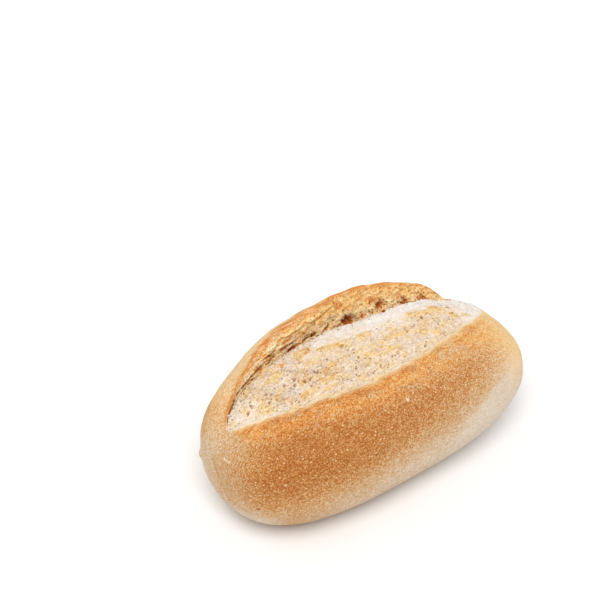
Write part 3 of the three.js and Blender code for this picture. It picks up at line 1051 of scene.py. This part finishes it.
def granules_group():
    """Granules scattered about a size apart: each one's lightness, and a mask of those that stand out.

    Share is how many of them stand out, and radius, measured in sizes, is how wide they are.
    """
    inputs = {"Place": VECTOR, "Size": NUMBER, "Share": NUMBER, "Radius": NUMBER}
    outputs = {"Lightness": NUMBER, "Granule": NUMBER}
    tree, given, result = new_tree("Fine granules", "ShaderNodeTree", inputs, outputs)
    place = sized(tree, given["Place"], given["Size"])
    cells = node(tree, "ShaderNodeTexVoronoi", {"Vector": place, "Scale": 1.0})
    lightness, draw, strength = parted(tree, cells.outputs["Color"])
    chosen = calc(tree, "LESS_THAN", draw, given["Share"])
    inner = product(tree, given["Radius"], GRANULE_FLOOR)
    spot = fade(tree, cells.outputs["Distance"], given["Radius"], inner)
    feed(tree, result["Lightness"], centred(tree, lightness))
    feed(tree, result["Granule"], product(tree, chosen, spot, fade(tree, strength, 0.0, 1.0, 0.3, 1.0)))
    return tree


def shading_group():
    """A colour made lighter or darker by a share of itself."""
    inputs = {"Color": COLOUR, "Lightness": NUMBER, "Strength": NUMBER}
    tree, given, result = new_tree("Fine shading", "ShaderNodeTree", inputs, {"Color": COLOUR})
    change = product(tree, given["Lightness"], given["Strength"])
    feed(tree, result["Color"], scaled(tree, given["Color"], calc(tree, "ADD", change, 1.0)))
    return tree


def flour_group():
    """Flour lying unevenly over a colour."""
    inputs = {"Color": COLOUR, "Place": VECTOR, "Amount": NUMBER, "Patch size": NUMBER}
    tree, given, result = new_tree("Flour dust", "ShaderNodeTree", inputs, {"Color": COLOUR})
    cloud = noise(tree, sized(tree, given["Place"], given["Patch size"]), 5.0, 0.65)
    lying = fade(tree, calc(tree, "ADD", cloud, given["Amount"]), 0.5, 1.4)
    feed(tree, result["Color"], blend(tree, lying, given["Color"], FLOUR))
    return tree


def baked_group():
    """The crust's colour from pale to brown by how much it baked, mottled and grained."""
    inputs = {"Bake": NUMBER, "Place": VECTOR, "Mottle length": NUMBER, "Mottle width": NUMBER}
    inputs |= {"Mottle": NUMBER, "Lightness": NUMBER, "Grain": NUMBER}
    tree, given, result = new_tree("Baked colour", "ShaderNodeTree", inputs, {"Color": COLOUR})
    cloud = drawn_out(tree, given["Place"], given["Mottle length"], given["Mottle width"], 4.0, 0.6)
    mottle = product(tree, centred(tree, cloud), given["Mottle"])
    darkening = fade(tree, given["Bake"], 0.0, 0.8, -0.5, -1.0)
    grain = product(tree, given["Lightness"], given["Grain"], darkening)
    amount = calc(tree, "DIVIDE", total(tree, given["Bake"], mottle, grain), BROWNEST)
    ramp = node(tree, "ShaderNodeValToRGB", {0: amount})
    for _ in BAKED_COLOURS[2:]:
        ramp.color_ramp.elements.new(0.5)
    for stop, (bake, colour) in zip(ramp.color_ramp.elements, BAKED_COLOURS):
        stop.position = bake / BROWNEST
        stop.color = colour
    feed(tree, result["Color"], ramp.outputs[0])
    return tree


def use(tree, group, inputs):
    """The outputs of a node that uses a group."""
    made = node(tree, "ShaderNodeGroup")
    made.node_tree = group
    for name, value in inputs.items():
        feed(tree, made.inputs[name], value)
    return made.outputs


def granules(tree, groups, place, size, share, radius):
    """The fine granules' lightness and mask, at a place."""
    inputs = {"Place": place, "Size": size, "Share": share, "Radius": radius}
    return use(tree, groups["granules"], inputs)


def shaded(tree, groups, colour, lightness, strength):
    """A colour made lighter or darker by the fine shading."""
    inputs = {"Color": colour, "Lightness": lightness, "Strength": strength}
    return use(tree, groups["shading"], inputs)["Color"]


def new_material(name):
    """An empty material with its tree, its Principled node and the place on the object."""
    material = bpy.data.materials.new(name)
    material.use_nodes = True
    tree = material.node_tree
    place = node(tree, "ShaderNodeTexCoord").outputs["Object"]
    return material, tree, tree.nodes["Principled BSDF"], place


def attribute(tree, name):
    """A named value of the mesh, in a material."""
    return node(tree, "ShaderNodeAttribute", attribute_name=name).outputs["Fac"]


def bump(tree, height, distance):
    """A normal roughened by a height."""
    inputs = {"Height": height, "Distance": distance, "Strength": 1.0}
    return node(tree, "ShaderNodeBump", inputs).outputs[0]


def finish(tree, shader, looks):
    """Feeds or sets a Principled node's inputs by name."""
    for name, value in looks.items():
        feed(tree, shader.inputs[name], value)


# Materials
#
# A pattern is its length along the roll and its width, then the noise's detail and roughness.
# Granules are how far apart they lie, the share that stands out, and their radius in those lengths.

GLOW_PATCHES = (6 * MM, 4 * MM)
GLOW_STRANDS = (6 * MM, 1.1 * MM, 3.0, 0.6)
TOAST_PATCHES = (6 * MM, 2.5 * MM, 3.0)
LIP_STREAKS = (9 * MM, 0.8 * MM)
LIP_BAKE = 0.6  # how brown the lip's glow is
CRUST_MOTTLE = {"Mottle length": 5 * MM, "Mottle width": 2.4 * MM, "Mottle": 0.28, "Grain": 0.84}
CRUST_GRAIN = (0.34 * MM, 0.2, 0.5)
DUST_GRANULES = (0.55 * MM, 0.6, 0.33)
SPECK_GRANULES = (0.95 * MM, 0.55, 0.3)
SPECK_STRETCH = 1.7
SCALE_GRANULES = (3 * MM, 0.3, 0.16)
SCALE_STRETCH = 1.8
DUST_HEIGHT = 0.12 * MM
GOLDEN_TINT = (1.2, 1.0, 0.63, 1.0)  # multiplies the crust's colour where it is golden
DUST = srgb(250, 200, 134)
SPECK = srgb(255, 220, 168)
SCALE = srgb(252, 222, 178)
# A pale line at the crust's edge beside the burst: partly its own unbrowned colour and partly painted
# light against the shade of the groove and step there
NEAR_RIM = srgb(250, 218, 162)
LIP_RIM = srgb(218, 130, 46)
PALE_FLECK = srgb(250, 224, 184)
DARK_FLECK = srgb(176, 84, 34)
FLECKS = (  # middle, reach and colour of single flecks on the crust
    (Vector((-1.6, -25.3, 41)) * MM, 0.9 * MM, PALE_FLECK),
    (Vector((-61, -1.2, 30.3)) * MM, 0.7 * MM, PALE_FLECK),
    (Vector((-61, -2.4, 30.5)) * MM, 0.7 * MM, PALE_FLECK),
    (Vector((-60.9, -3.7, 30.7)) * MM, 0.7 * MM, PALE_FLECK),
    (Vector((-59.2, -17, 18.1)) * MM, 0.9 * MM, DARK_FLECK),
)
FLECK_FLOOR = 0.4  # the share of a fleck's reach that has its full colour


def browned_crust(tree, groups, place, strands, lip_glow):
    """The crust's colour and its bake, in strands and toasted patches beside the burst."""
    near_glow = attribute(tree, "near_glow")
    strand = product(tree, centred(tree, strands), fade(tree, near_glow, 0.0, 1.0, 0.1, 0.5))
    toast = fade(tree, drawn_out(tree, place, *TOAST_PATCHES), 0.4, 0.6, 0.0, 0.32)
    toast = product(tree, attribute(tree, "near_toast"), toast)
    inputs = {0: lip_glow, 2: attribute(tree, "bake"), 3: LIP_BAKE}
    bake = total(tree, node(tree, "ShaderNodeMix", inputs).outputs[0], strand, toast)
    grain = granules(tree, groups, place, *CRUST_GRAIN)["Lightness"]
    inputs = {"Bake": bake, "Place": place, "Lightness": grain, **CRUST_MOTTLE}
    colour = use(tree, groups["baked"], inputs)["Color"]
    glow = product(tree, near_glow, fade(tree, drawn_out(tree, place, *GLOW_PATCHES), 0.25, 0.55))
    golden = total(tree, attribute(tree, "golden"), glow, lip_glow)
    return blend(tree, golden, colour, GOLDEN_TINT, "MULTIPLY"), bake


def dried_flour(tree, groups, place, colour, bake):
    """The colour under dust, specks and a few larger scales of flour, and how high they lie."""
    browned = fade(tree, bake, 0.0, 0.8, 0.6, 1.0)
    dust = granules(tree, groups, place, *DUST_GRANULES)["Granule"]
    colour = blend(tree, product(tree, dust, browned, 0.7), colour, DUST)
    long_place = stretched(tree, place, SPECK_STRETCH, 1.0, 1.0)
    specks = granules(tree, groups, long_place, *SPECK_GRANULES)["Granule"]
    colour = blend(tree, product(tree, specks, browned, 0.85), colour, SPECK)
    long_place = stretched(tree, place, SCALE_STRETCH, 1.0, 1.0)
    scales = granules(tree, groups, long_place, *SCALE_GRANULES)["Granule"]
    colour = blend(tree, product(tree, scales, 0.6), colour, SCALE)
    return colour, calc(tree, "ADD", specks, dust)


def flecked(tree, place, colour):
    """The colour with its single flecks."""
    for middle, reach, shade in FLECKS:
        apart = node(tree, "ShaderNodeVectorMath", {0: place, 1: middle}, operation="DISTANCE")
        fleck = fade(tree, apart.outputs["Value"], reach, FLECK_FLOOR * reach, 0.0, 0.8)
        colour = blend(tree, fleck, colour, shade)
    return colour


def crust_material(groups):
    """Baked crust: brown by the bake, golden in places, mottled, with pale granules of dried flour."""
    material, tree, shader, place = new_material("crust")
    strands = drawn_out(tree, place, *GLOW_STRANDS)
    streak = drawn_out(tree, place, *LIP_STREAKS)
    lip_glow = product(tree, attribute(tree, "lip_glow"), fade(tree, streak, 0.38, 0.58))
    colour, bake = browned_crust(tree, groups, place, strands, lip_glow)
    colour, height = dried_flour(tree, groups, place, colour, bake)
    colour = flecked(tree, place, colour)
    # The pale rim beside the burst, partly painted light against the shade of the groove
    rim = product(tree, attribute(tree, "near_rim"), fade(tree, strands, 0.35, 0.65, 0.9, 0.4))
    colour = blend(tree, rim, colour, NEAR_RIM)
    lip_rim = product(tree, attribute(tree, "lip_rim"), fade(tree, streak, 0.38, 0.6, 0.3, 0.85))
    colour = blend(tree, lip_rim, colour, LIP_RIM)
    looks = {
        "Base Color": colour,
        "Normal": bump(tree, height, DUST_HEIGHT),
        "Roughness": 0.7,
        "Specular IOR Level": 0.18,
    }
    finish(tree, shader, looks)
    return material


CRUMB_GLOW = (1.0, 0.55, 0.25)  # how far red, green and blue light spreads inside the crumb, by shares
CRUMB_GRAIN = (0.42 * MM, 0.2, 0.5)
FINE_CRUMB = (0.6 * MM, 0.6 * MM, 4.0, 0.6)
WARM_PATCHES = (5 * MM, 2.6 * MM, 4.0, 0.65)
RAGGED_CRUMB = (1.6 * MM, 0.9 * MM, 4.0, 0.7)
FLAKE_STROKES = (3.2 * MM, 0.8 * MM, 4.0, 0.65)
FLOUR_PATCH = 4 * MM
PITTED_PATCHES = (9 * MM, 5 * MM)
PINHOLE_SPACING = 1.2 * MM
PINHOLE_RADIUS = 0.29  # in spacings
BURST_BUMP = 0.2 * MM
CREAM = srgb(238, 216, 194)
WARM_CREAM = srgb(235, 201, 144)
TOASTED = srgb(242, 204, 132)
TOASTED_CORE = srgb(222, 156, 72)
FLOURY = srgb(242, 231, 220)
# Painted shade round clusters of pinholes, in the pinholes and in the pores
PITTED_SHADE = srgb(217, 192, 168)
PINHOLE_SHADE = srgb(146, 90, 48)
PORE_SHADE = srgb(156, 96, 50)
BURST_RIM = srgb(247, 225, 184)


def toasted_crumb(tree, place, flake, left):
    """Cream crumb, toasted on its flakes and on the tops of its folds."""
    warm = drawn_out(tree, place, *WARM_PATCHES)
    colour = blend(tree, fade(tree, warm, 0.4, 0.64), CREAM, WARM_CREAM)
    flaky = calc(tree, "MAXIMUM", flake, product(tree, attribute(tree, "fold_top"), 0.45))
    stroke = centred(tree, drawn_out(tree, place, *FLAKE_STROKES))
    stroke = calc(tree, "MULTIPLY_ADD", stroke, 4.5, 0.75)
    toast = product(tree, flaky, stroke, fade(tree, left, 0.0, 0.8, 0.8, 1.0))
    colour = blend(tree, fade(tree, toast, 0.15, 0.7, 0.0, 0.8), colour, TOASTED)
    return blend(tree, fade(tree, toast, 0.5, 1.1, 0.0, 0.92), colour, TOASTED_CORE)


def floury_crumb(tree, groups, place, colour, flake, flour, ragged):
    """The colour under flour in the hollows, along the crest and at the tips."""
    floury = calc(tree, "MULTIPLY_ADD", ragged, 2.0, attribute(tree, "hollow"))
    colour = blend(tree, product(tree, fade(tree, floury, 0.15, 0.9), 0.65), colour, FLOURY)
    amount = calc(tree, "MULTIPLY_ADD", flake, -0.5, flour)
    inputs = {"Color": colour, "Place": place, "Amount": amount, "Patch size": FLOUR_PATCH}
    return use(tree, groups["flour"], inputs)["Color"]


def pitted_crumb(tree, groups, place, colour, flour, left):
    """The colour with painted shade round clusters of pinholes and in the pinholes, where no flour fills
    them, and the pinholes.
    """
    cluster = drawn_out(tree, place, *PITTED_PATCHES)
    unfloured = fade(tree, flour, 0.0, 0.7, 1.0, 0.2)
    bare = product(tree, unfloured, fade(tree, left, 0.0, 0.8, 0.6, 1.3))
    pitted = product(tree, fade(tree, cluster, 0.42, 0.62, 0.0, 0.45), bare)
    # Painted shade round the clusters of pinholes
    colour = blend(tree, pitted, colour, PITTED_SHADE)
    share = product(tree, fade(tree, cluster, 0.38, 0.62, 0.15, 1.0), bare)
    pinholes = granules(tree, groups, place, PINHOLE_SPACING, share, PINHOLE_RADIUS)["Granule"]
    # Painted shade in the pinholes
    return blend(tree, pinholes, colour, PINHOLE_SHADE), pinholes


def burst_material(groups):
    """The burst's crumb: cream, toasted on its flakes, white in its hollows and on its crest, pitted,
    with painted shade in its pores and pinholes.
    """
    material, tree, shader, place = new_material("burst_crumb")
    flake = calc(tree, "POWER", attribute(tree, "flake"), 0.5)
    flour = attribute(tree, "flour")
    left = attribute(tree, "stranded")
    ragged = product(tree, centred(tree, drawn_out(tree, place, *RAGGED_CRUMB)), 1.3)
    colour = toasted_crumb(tree, place, flake, left)
    colour = floury_crumb(tree, groups, place, colour, flake, flour, ragged)
    colour, pinholes = pitted_crumb(tree, groups, place, colour, flour, left)
    colour = shaded(tree, groups, colour, ragged, 0.62)
    grain = granules(tree, groups, place, *CRUMB_GRAIN)["Lightness"]
    colour = shaded(tree, groups, colour, grain, fade(tree, flour, 0.0, 0.8, 0.38, 0.15))
    # Painted shade in the pores of the relief
    colour = blend(tree, product(tree, attribute(tree, "pore"), 0.8), colour, PORE_SHADE)
    colour = blend(tree, product(tree, attribute(tree, "near_rim"), 0.5), colour, BURST_RIM)
    height = calc(tree, "SUBTRACT", drawn_out(tree, place, *FINE_CRUMB), pinholes)
    looks = {
        "Base Color": colour,
        "Normal": bump(tree, height, BURST_BUMP),
        "Roughness": 0.85,
        "Specular IOR Level": 0.15,
        "Subsurface Weight": 0.3,
        "Subsurface Radius": CRUMB_GLOW,
        "Subsurface Scale": 0.6 * MM,
    }
    finish(tree, shader, looks)
    return material


TORN_CLOUD = (0.9 * MM, 0.7 * MM, 4.0, 0.7)
TORN_PATCHES = (2.4, 1.9 * MM, 3.0, 0.6)  # their length in cells
WALL_STREAKS = (11 * MM, 1.1 * MM)
CREVICE_SHADOW_GAPS = (3 * MM, 1.4 * MM, 3.0, 0.6)
TORN_PINHOLES = {"Size": 0.8 * MM, "Level": 0.6, "Softness": 0.1, "Shift": 57.0}
TORN_BUMP = 0.3 * MM
# Each LOW colour is painted shade where the crumb lies back and each HIGH colour painted light where it
# stands out; the FOOT colours are paler, partly the crumb's own colour and partly painted light against
# the crevice's shade
TORN_LOW = srgb(220, 132, 52)
TORN_HIGH = srgb(259, 209, 134)
FOOT_LOW = srgb(226, 148, 76)
FOOT_HIGH = srgb(268, 232, 178)
STRAND_LOW = srgb(252, 166, 62)
STRAND_HIGH = srgb(275, 246, 192)
# A painted highlight on what stands out most
TORN_HIGHLIGHT = srgb(266, 242, 200)
# Orange-brown patches at random, painted for the patchy shade of the rugged crumb
TORN_SHADE_PATCH = srgb(214, 138, 62)
WALL_STREAK = srgb(224, 130, 44)
TOASTED_STROKE = srgb(226, 136, 44)
# Painted shade in the wall's pinholes
TORN_PINHOLE_SHADE = srgb(206, 122, 46)
# Painted shade in the wall's cells and cavities, at their edges and deepest in them
CAVITY_EDGE_SHADE = srgb(206, 126, 54)
CAVITY_DEEP_SHADE = srgb(164, 86, 30)
# Painted shadow of the crevice, a dark line along the wall's foot
CREVICE_SHADOW = srgb(158, 80, 20)


def raised_crumb(tree, place, raised, foot, stranded):
    """Crumb darker and more orange where it lies back and paler where it stands out, as painted shade
    and painted light; paler at its foot, partly its own colour and partly painted light against the
    crevice's shade; drawn in strands on the left.
    """
    # Darker where the crumb lies back, paler where it stands out: painted shade and painted light
    upper = blend(tree, fade(tree, raised, 0.2, 0.45), TORN_LOW, TORN_HIGH)
    lower = blend(tree, fade(tree, raised, 0.2, 0.45), FOOT_LOW, FOOT_HIGH)
    # Paler towards the foot, partly painted light against the crevice's shade
    colour = blend(tree, fade(tree, foot, 0.0, 0.7), upper, lower)
    # The strands too are darker where they lie back, as painted shade
    strands = blend(tree, fade(tree, raised, 0.34, 0.5), STRAND_LOW, STRAND_HIGH)
    colour = blend(tree, stranded, colour, strands)
    _, across, up = parted(tree, place)
    cell_place = joined(tree, attribute(tree, "cell_run"), across, up)
    # Painted shade in random patches over the crumb, less among the strands
    patch = fade(tree, drawn_out(tree, cell_place, *TORN_PATCHES), 0.5, 0.62)
    patch = product(tree, patch, fade(tree, stranded, 0.0, 1.0, 0.5, 0.25))
    colour = blend(tree, patch, colour, TORN_SHADE_PATCH)
    # A painted highlight on what stands out most
    return blend(tree, fade(tree, raised, 0.48, 0.75), colour, TORN_HIGHLIGHT)


def toasted_wall(tree, place, colour, raised):
    """The colour toasted in streaks below the lip and in single strokes."""
    streak = fade(tree, drawn_out(tree, place, *WALL_STREAKS), 0.4, 0.6, 0.4, 1.0)
    streak = product(tree, attribute(tree, "lip_glow"), streak, 0.85)
    colour = blend(tree, streak, colour, WALL_STREAK)
    toast = product(tree, attribute(tree, "wall_toast"), fade(tree, raised, 0.2, 0.5, 1.2, 0.6))
    return blend(tree, fade(tree, toast, 0.1, 0.8, 0.0, 0.8), colour, TOASTED_STROKE)


def painted_shade_in_holes(tree, place, colour, cloud, foot, stranded):
    """The colour with painted shade in its cells, darker towards the foot, and in its cavities, darker
    the deeper they are, and with the crevice's painted shadow over the burst's crest.
    """
    # Painted shade in the cells, darker towards the foot
    hole = product(tree, attribute(tree, "cell"), fade(tree, foot, 0.0, 1.0, 0.2, 0.75))
    hole = product(tree, hole, fade(tree, stranded, 0.0, 1.0, 1.0, 0.6))
    # Painted shade in the cavities
    cavity_shade = calc(tree, "MULTIPLY_ADD", cloud, 1.4, attribute(tree, "cavity_shade"))
    colour = blend(tree, fade(tree, cavity_shade, 0.1, 0.5), colour, CAVITY_EDGE_SHADE)
    deep = calc(tree, "MAXIMUM", hole, fade(tree, cavity_shade, 0.4, 1.0))
    colour = blend(tree, deep, colour, CAVITY_DEEP_SHADE)
    # The crevice's painted shadow, broken in gaps, over the burst's crest
    gaps = fade(tree, drawn_out(tree, place, *CREVICE_SHADOW_GAPS), 0.38, 0.54, 0.25, 1.0)
    crevice_shadow = product(tree, attribute(tree, "crevice_shadow"), gaps)
    crevice_shadow = calc(tree, "MULTIPLY_ADD", cloud, 3.0, crevice_shadow)
    return blend(tree, fade(tree, crevice_shadow, 0.3, 0.9, 0.0, 0.85), colour, CREVICE_SHADOW)


def torn_material(groups):
    """The ear's torn wall: golden crumb, with cream painted highlights on its raised parts and brown
    painted shade in its cells and cavities.
    """
    material, tree, shader, place = new_material("torn_crumb")
    foot = attribute(tree, "foot")
    stranded = attribute(tree, "stranded")
    cloud = product(tree, centred(tree, drawn_out(tree, place, *TORN_CLOUD)), 0.5)
    raised = calc(tree, "ADD", attribute(tree, "stands_out"), cloud)
    colour = raised_crumb(tree, place, raised, foot, stranded)
    colour = toasted_wall(tree, place, colour, raised)
    pinholes = use(tree, groups["specks"], {"Place": place, **TORN_PINHOLES})["Speck"]
    # Painted shade in the pinholes
    colour = blend(tree, product(tree, pinholes, 0.5), colour, TORN_PINHOLE_SHADE)
    grain = granules(tree, groups, place, *CRUMB_GRAIN)["Lightness"]
    colour = shaded(tree, groups, colour, grain, 0.42)
    colour = painted_shade_in_holes(tree, place, colour, cloud, foot, stranded)
    height = calc(tree, "SUBTRACT", drawn_out(tree, place, *FINE_CRUMB), pinholes)
    looks = {
        "Base Color": colour,
        "Normal": bump(tree, height, TORN_BUMP),
        "Roughness": 0.8,
        "Specular IOR Level": 0.15,
        "Subsurface Weight": 0.7,
        "Subsurface Radius": CRUMB_GLOW,
        "Subsurface Scale": 0.9 * MM,
    }
    finish(tree, shader, looks)
    return material


def make_roll():
    """The whole roll as one closed piece."""
    groups = {
        "specks": specks_group(),
        "granules": granules_group(),
        "shading": shading_group(),
        "flour": flour_group(),
        "baked": baked_group(),
    }
    materials = {
        "Crust": crust_material(groups),
        "Burst crumb": burst_material(groups),
        "Torn crumb": torn_material(groups),
    }
    roll = bpy.data.objects.new("baked_roll", roll_mesh())
    bpy.context.scene.collection.objects.link(roll)
    grow(roll, relief_tree(), {**RELIEF, **materials})
    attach(roll, "root")
    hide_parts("roll")


# Stage

FLOOR_HALF = 3.0
FLOOR_COLOUR = (0.85, 0.85, 0.85, 1.0)
SKY_COLOUR = (1, 1, 1, 1)
SKY_STRENGTH = 0.8
KEY_PLACE = Vector((-0.66, -0.88, 1.9))
KEY_SIZE = 1.5
KEY_WATTS = 31
CAMERA_AZIMUTH = math.radians(-38.8)
CAMERA_ELEVATION = math.radians(40)
CAMERA_DISTANCE = 0.6
CAMERA_TARGET = Vector((0, 0, 23 * MM))
TARGET_PIXEL = (364.5, 400.9)  # where the target shows in the picture
PICTURE_SIDE = 600  # in pixels
FOCAL_PIXELS = 1684.8
SENSOR = 36.0  # in mm, as Blender gives it


def make_floor():
    """A plain pale floor under the roll."""
    corners = [(x * FLOOR_HALF, y * FLOOR_HALF, 0) for x, y in ((-1, -1), (1, -1), (1, 1), (-1, 1))]
    mesh = bpy.data.meshes.new("floor")
    mesh.from_pydata(corners, [], [(0, 1, 2, 3)])
    floor = bpy.data.objects.new("floor", mesh)
    bpy.context.scene.collection.objects.link(floor)
    material, tree, shader, _ = new_material("floor")
    finish(tree, shader, {"Base Color": FLOOR_COLOUR, "Roughness": 1.0, "Specular IOR Level": 0.0})
    mesh.materials.append(material)


def make_light():
    """Even white light from all round, with a soft key from above and to the left."""
    world = bpy.data.worlds.new("studio")
    world.use_nodes = True
    sky = world.node_tree.nodes["Background"]
    sky.inputs["Color"].default_value = SKY_COLOUR
    sky.inputs["Strength"].default_value = SKY_STRENGTH
    bpy.context.scene.world = world
    lamp = bpy.data.lights.new("key", "AREA")
    lamp.shape = "DISK"
    lamp.size = KEY_SIZE
    lamp.energy = KEY_WATTS
    key = bpy.data.objects.new("key", lamp)
    key.location = KEY_PLACE
    key.rotation_euler = (CAMERA_TARGET - KEY_PLACE).to_track_quat("-Z", "Y").to_euler()
    bpy.context.scene.collection.objects.link(key)
    bpy.context.scene.view_settings.view_transform = "Standard"


def make_camera():
    """A camera at the photo's angle, turned so that the roll stands where it does in the photo."""
    lens = bpy.data.cameras.new("camera")
    lens.sensor_width = SENSOR
    lens.lens = FOCAL_PIXELS / PICTURE_SIDE * SENSOR
    level = math.cos(CAMERA_ELEVATION)
    back = Vector((
        math.sin(CAMERA_AZIMUTH) * level,
        -math.cos(CAMERA_AZIMUTH) * level,
        math.sin(CAMERA_ELEVATION),
    ))
    half = PICTURE_SIDE / 2
    seen = Vector((TARGET_PIXEL[0] - half, half - TARGET_PIXEL[1], -FOCAL_PIXELS)).normalized()
    turn = Vector((0, 0, -1)).rotation_difference(seen)
    camera = bpy.data.objects.new("camera", lens)
    camera.location = CAMERA_TARGET + back * CAMERA_DISTANCE
    camera.rotation_mode = "QUATERNION"
    camera.rotation_quaternion = (-back).to_track_quat("-Z", "Y") @ turn.inverted()
    bpy.context.scene.collection.objects.link(camera)
    bpy.context.scene.camera = camera


make_roll()
make_floor()
make_light()
make_camera()
